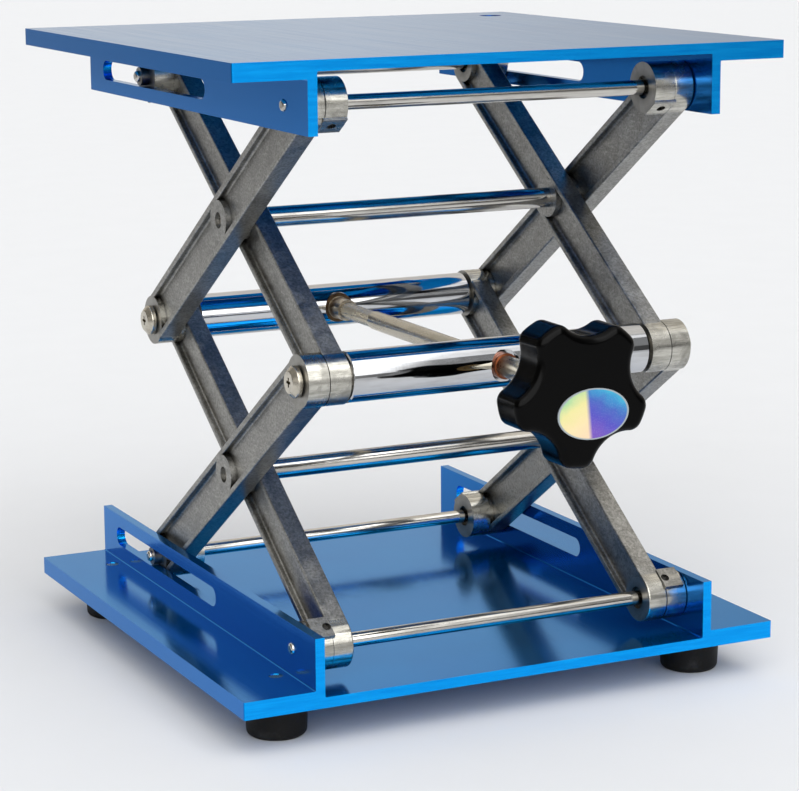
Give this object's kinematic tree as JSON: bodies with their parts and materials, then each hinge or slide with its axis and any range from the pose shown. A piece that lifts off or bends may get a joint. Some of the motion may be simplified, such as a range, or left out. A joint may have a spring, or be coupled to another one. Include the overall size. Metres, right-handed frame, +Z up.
{
  "type": "laboratory scissor jack",
  "caption": "Screw-driven laboratory scissor jack: a blue ribbed platform on crossed cast arms, raised by a front knob and lead screw over a matching base with rubber feet.",
  "frame": {"origin": "on the bench, under the centre of the jack's outline in plan, at the plane of the feet's undersides", "axes": "+Z up, the knob points to -Y, +X to the right seen from the knob"},
  "size_m": [0.2, 0.2422, 0.2216],
  "materials": {
    "blue_anodised": "blue anodised extrusion, satin",
    "cast_aluminium": "die-cast, lightly textured, machined at the bosses",
    "bright_chrome": "ground and plated",
    "steel": "bright turned steel",
    "bronze": "dull bearing bronze",
    "black_rubber": "moulded matte",
    "black_plastic": "moulded gloss",
    "pearl_plastic": "plain pearlescent film"
  },
  "bodies": {
    "base": {"base_plate": "blue_anodised", "foot_front_left": "black_rubber", "foot_front_right": "black_rubber", "foot_rear_left": "black_rubber", "foot_rear_right": "black_rubber", "foot_screws": "steel"},
    "lower_inner_arms": {"lower_inner_arm_left": "cast_aluminium", "lower_inner_arm_right": "cast_aluminium", "lower_inner_arm_set_screws": "steel", "base_front_rod": "steel", "lower_centre_rod": "steel"},
    "lower_outer_arms": {"lower_outer_arm_left": "cast_aluminium", "lower_outer_arm_right": "cast_aluminium", "lower_outer_arm_set_screws": "steel", "base_slide_rod": "steel", "base_slide_bushes": "steel"},
    "upper_outer_arms": {"upper_outer_arm_left": "cast_aluminium", "upper_outer_arm_right": "cast_aluminium", "upper_outer_arm_set_screws": "steel", "top_front_rod": "steel"},
    "upper_inner_arms": {"upper_inner_arm_left": "cast_aluminium", "upper_inner_arm_right": "cast_aluminium", "upper_inner_arm_set_screws": "steel", "top_slide_rod": "steel", "top_slide_bushes": "steel", "upper_centre_rod": "steel"},
    "top": {"top_plate": "blue_anodised"},
    "front_cross": {"front_cross_rod": "bright_chrome", "front_rod_washers": "steel", "front_pivot_screws": "steel"},
    "rear_cross": {"rear_cross_rod": "bright_chrome", "rear_rod_washers": "steel", "rear_pivot_screws": "steel", "lead_nut": "bronze"},
    "screw": {"lead_screw": "steel", "thrust_washer": "bronze", "retaining_collar": "steel", "knob_insert": "bronze", "knob": "black_plastic", "knob_badge": "pearl_plastic"}
  },
  "joints": [
    {"name": "lift", "type": "hinge", "parent": "base", "child": "lower_inner_arms", "pos_m": [0, -0.06, 0.02883], "axis": [1, 0, 0], "range_deg": [-27, 11.4]},
    {"name": "lower_scissor", "type": "hinge", "parent": "lower_inner_arms", "child": "lower_outer_arms", "pos_m": [0, 0.00561, 0.07319], "axis": [1, 0, 0], "range_deg": [-22.8, 54]},
    {"name": "mid_rear_fold", "type": "hinge", "parent": "lower_inner_arms", "child": "upper_outer_arms", "pos_m": [0, 0.07123, 0.11754], "axis": [1, 0, 0], "range_deg": [-22.8, 54]},
    {"name": "upper_scissor", "type": "hinge", "parent": "upper_outer_arms", "child": "upper_inner_arms", "pos_m": [0, 0.00561, 0.1619], "axis": [1, 0, 0], "range_deg": [-54, 22.8]},
    {"name": "top_hinge", "type": "hinge", "parent": "upper_outer_arms", "child": "top", "pos_m": [0, -0.06, 0.20626], "axis": [1, 0, 0], "range_deg": [-27, 11.4]},
    {"name": "front_cross_pivot", "type": "hinge", "parent": "lower_outer_arms", "child": "front_cross", "pos_m": [0, -0.06, 0.11754], "axis": [1, 0, 0], "range_deg": [-27, 11.4]},
    {"name": "rear_cross_pivot", "type": "hinge", "parent": "lower_inner_arms", "child": "rear_cross", "pos_m": [0, 0.07123, 0.11754], "axis": [1, 0, 0], "range_deg": [-11.4, 27]},
    {"name": "screw_turn", "type": "hinge", "parent": "front_cross", "child": "screw", "pos_m": [0, -0.06, 0.11754], "axis": [0, 1, 0], "range_deg": [-11669.4, 4927.08]}
  ],
  "couplings": [
    {"joint": "lower_scissor", "follows": "lift", "ratio": -2},
    {"joint": "mid_rear_fold", "follows": "lift", "ratio": -2},
    {"joint": "upper_scissor", "follows": "lift", "ratio": 2},
    {"joint": "top_hinge", "follows": "lift", "ratio": 1},
    {"joint": "front_cross_pivot", "follows": "lift", "ratio": 1},
    {"joint": "rear_cross_pivot", "follows": "lift", "ratio": -1},
    {"joint": "screw_turn", "follows": "lift", "ratio": 432.2}
  ]
}
